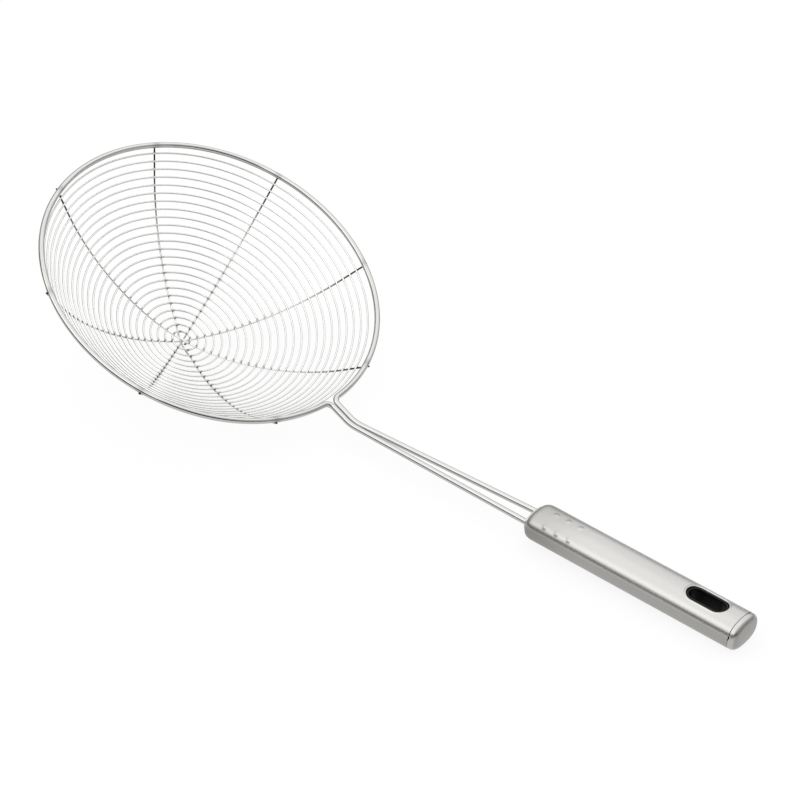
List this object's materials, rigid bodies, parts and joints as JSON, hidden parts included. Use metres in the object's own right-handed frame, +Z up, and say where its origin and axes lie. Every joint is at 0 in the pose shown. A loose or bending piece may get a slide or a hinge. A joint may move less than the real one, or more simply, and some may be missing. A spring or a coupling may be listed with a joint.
{
  "type": "wire skimmer strainer",
  "caption": "Round wire skimmer: a spiral-wound wire bowl on crossed ribs in a wire hoop, with a twin-wire neck and a hollow oval steel handle with a hanging slot.",
  "frame": {"origin": "bottom centre of the bounding box, on the table that the bowl and the handle's rear rest on", "axes": "+X from the bowl towards the handle's end, +Y across the tool, +Z up from the table"},
  "size_m": [0.4058, 0.18, 0.0947],
  "materials": {
    "bright_wire": "bright drawn",
    "satin_steel": "satin",
    "black_plastic": "gloss"
  },
  "bodies": {
    "root": {"frame_wire": "bright_wire", "spiral_wire": "bright_wire", "rib_1": "bright_wire", "rib_2": "bright_wire", "rib_3": "bright_wire", "rib_4": "bright_wire", "handle_tube": "satin_steel", "front_plug": "satin_steel", "end_cap": "satin_steel", "slot_liner": "black_plastic"}
  },
  "joints": []
}
